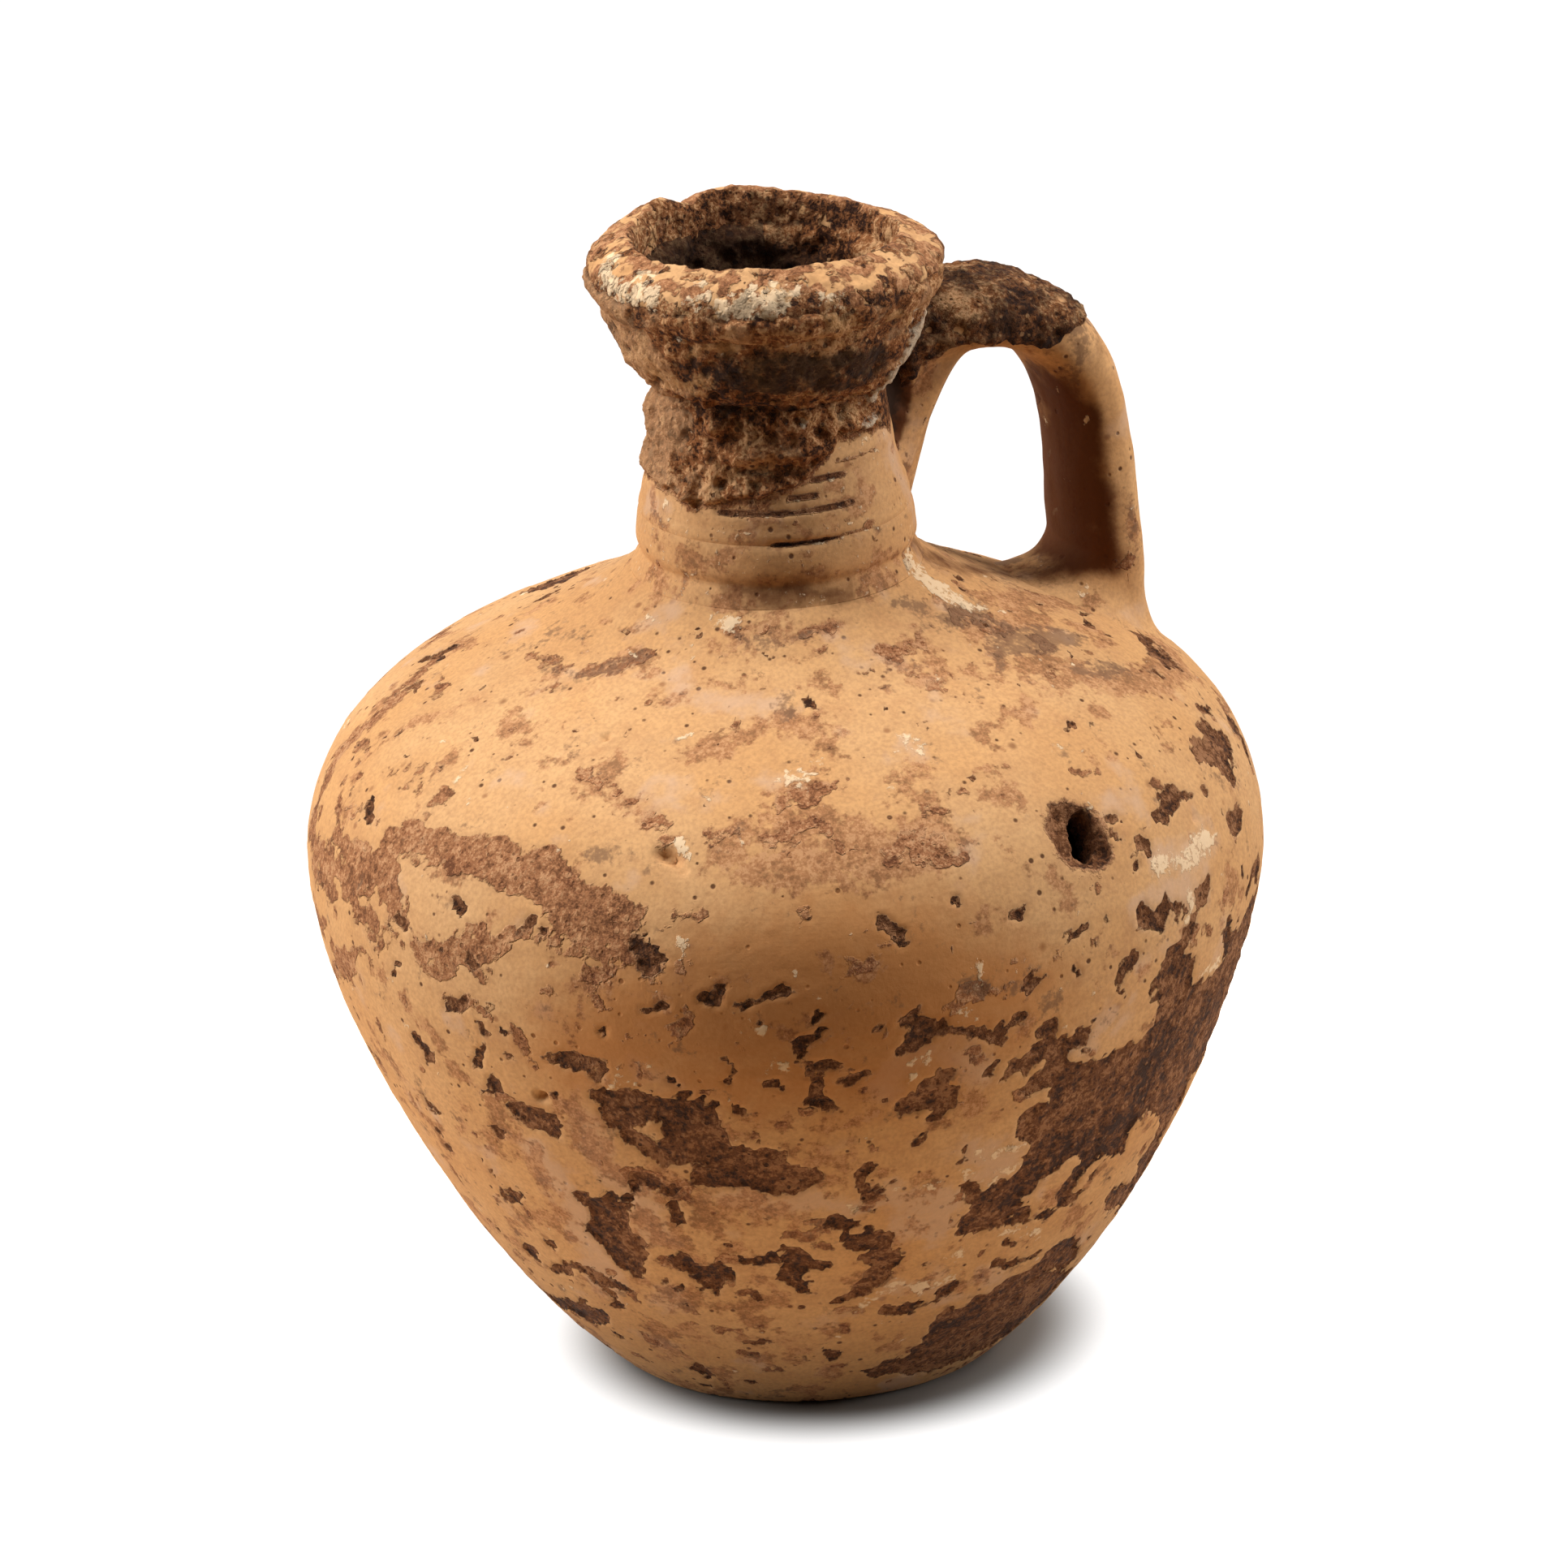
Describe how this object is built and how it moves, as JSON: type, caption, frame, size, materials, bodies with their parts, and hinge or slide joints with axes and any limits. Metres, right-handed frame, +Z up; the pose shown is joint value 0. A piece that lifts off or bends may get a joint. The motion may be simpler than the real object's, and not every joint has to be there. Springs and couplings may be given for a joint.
{
  "type": "pottery juglet",
  "caption": "Squat clay juglet with a flat base, narrow ribbed neck, cup-shaped mouth and one strap handle to the shoulder; a small vessel for pouring, worn and soil-crusted.",
  "frame": {"origin": "centre of the flat base, where it stands", "axes": "+Z up along the vessel's turning axis, towards the mouth; +X towards the handle"},
  "size_m": [0.1218, 0.1218, 0.1486],
  "materials": {
    "clay": "matt fired clay with a worn buff slip",
    "soil": "rough dried burial soil"
  },
  "bodies": {
    "root": {"base_disc": "clay", "lower_wall": "clay", "shoulder_wall": "clay", "neck_collar": "clay", "neck_tube": "clay", "mouth_cup": "clay", "lip_ring": "clay", "handle_strap": "clay", "handle_upper_root": "clay", "handle_lower_root": "clay", "neck_soil_crust": "soil", "mouth_soil_lining": "soil", "handle_soil_crust": "soil"}
  },
  "joints": []
}
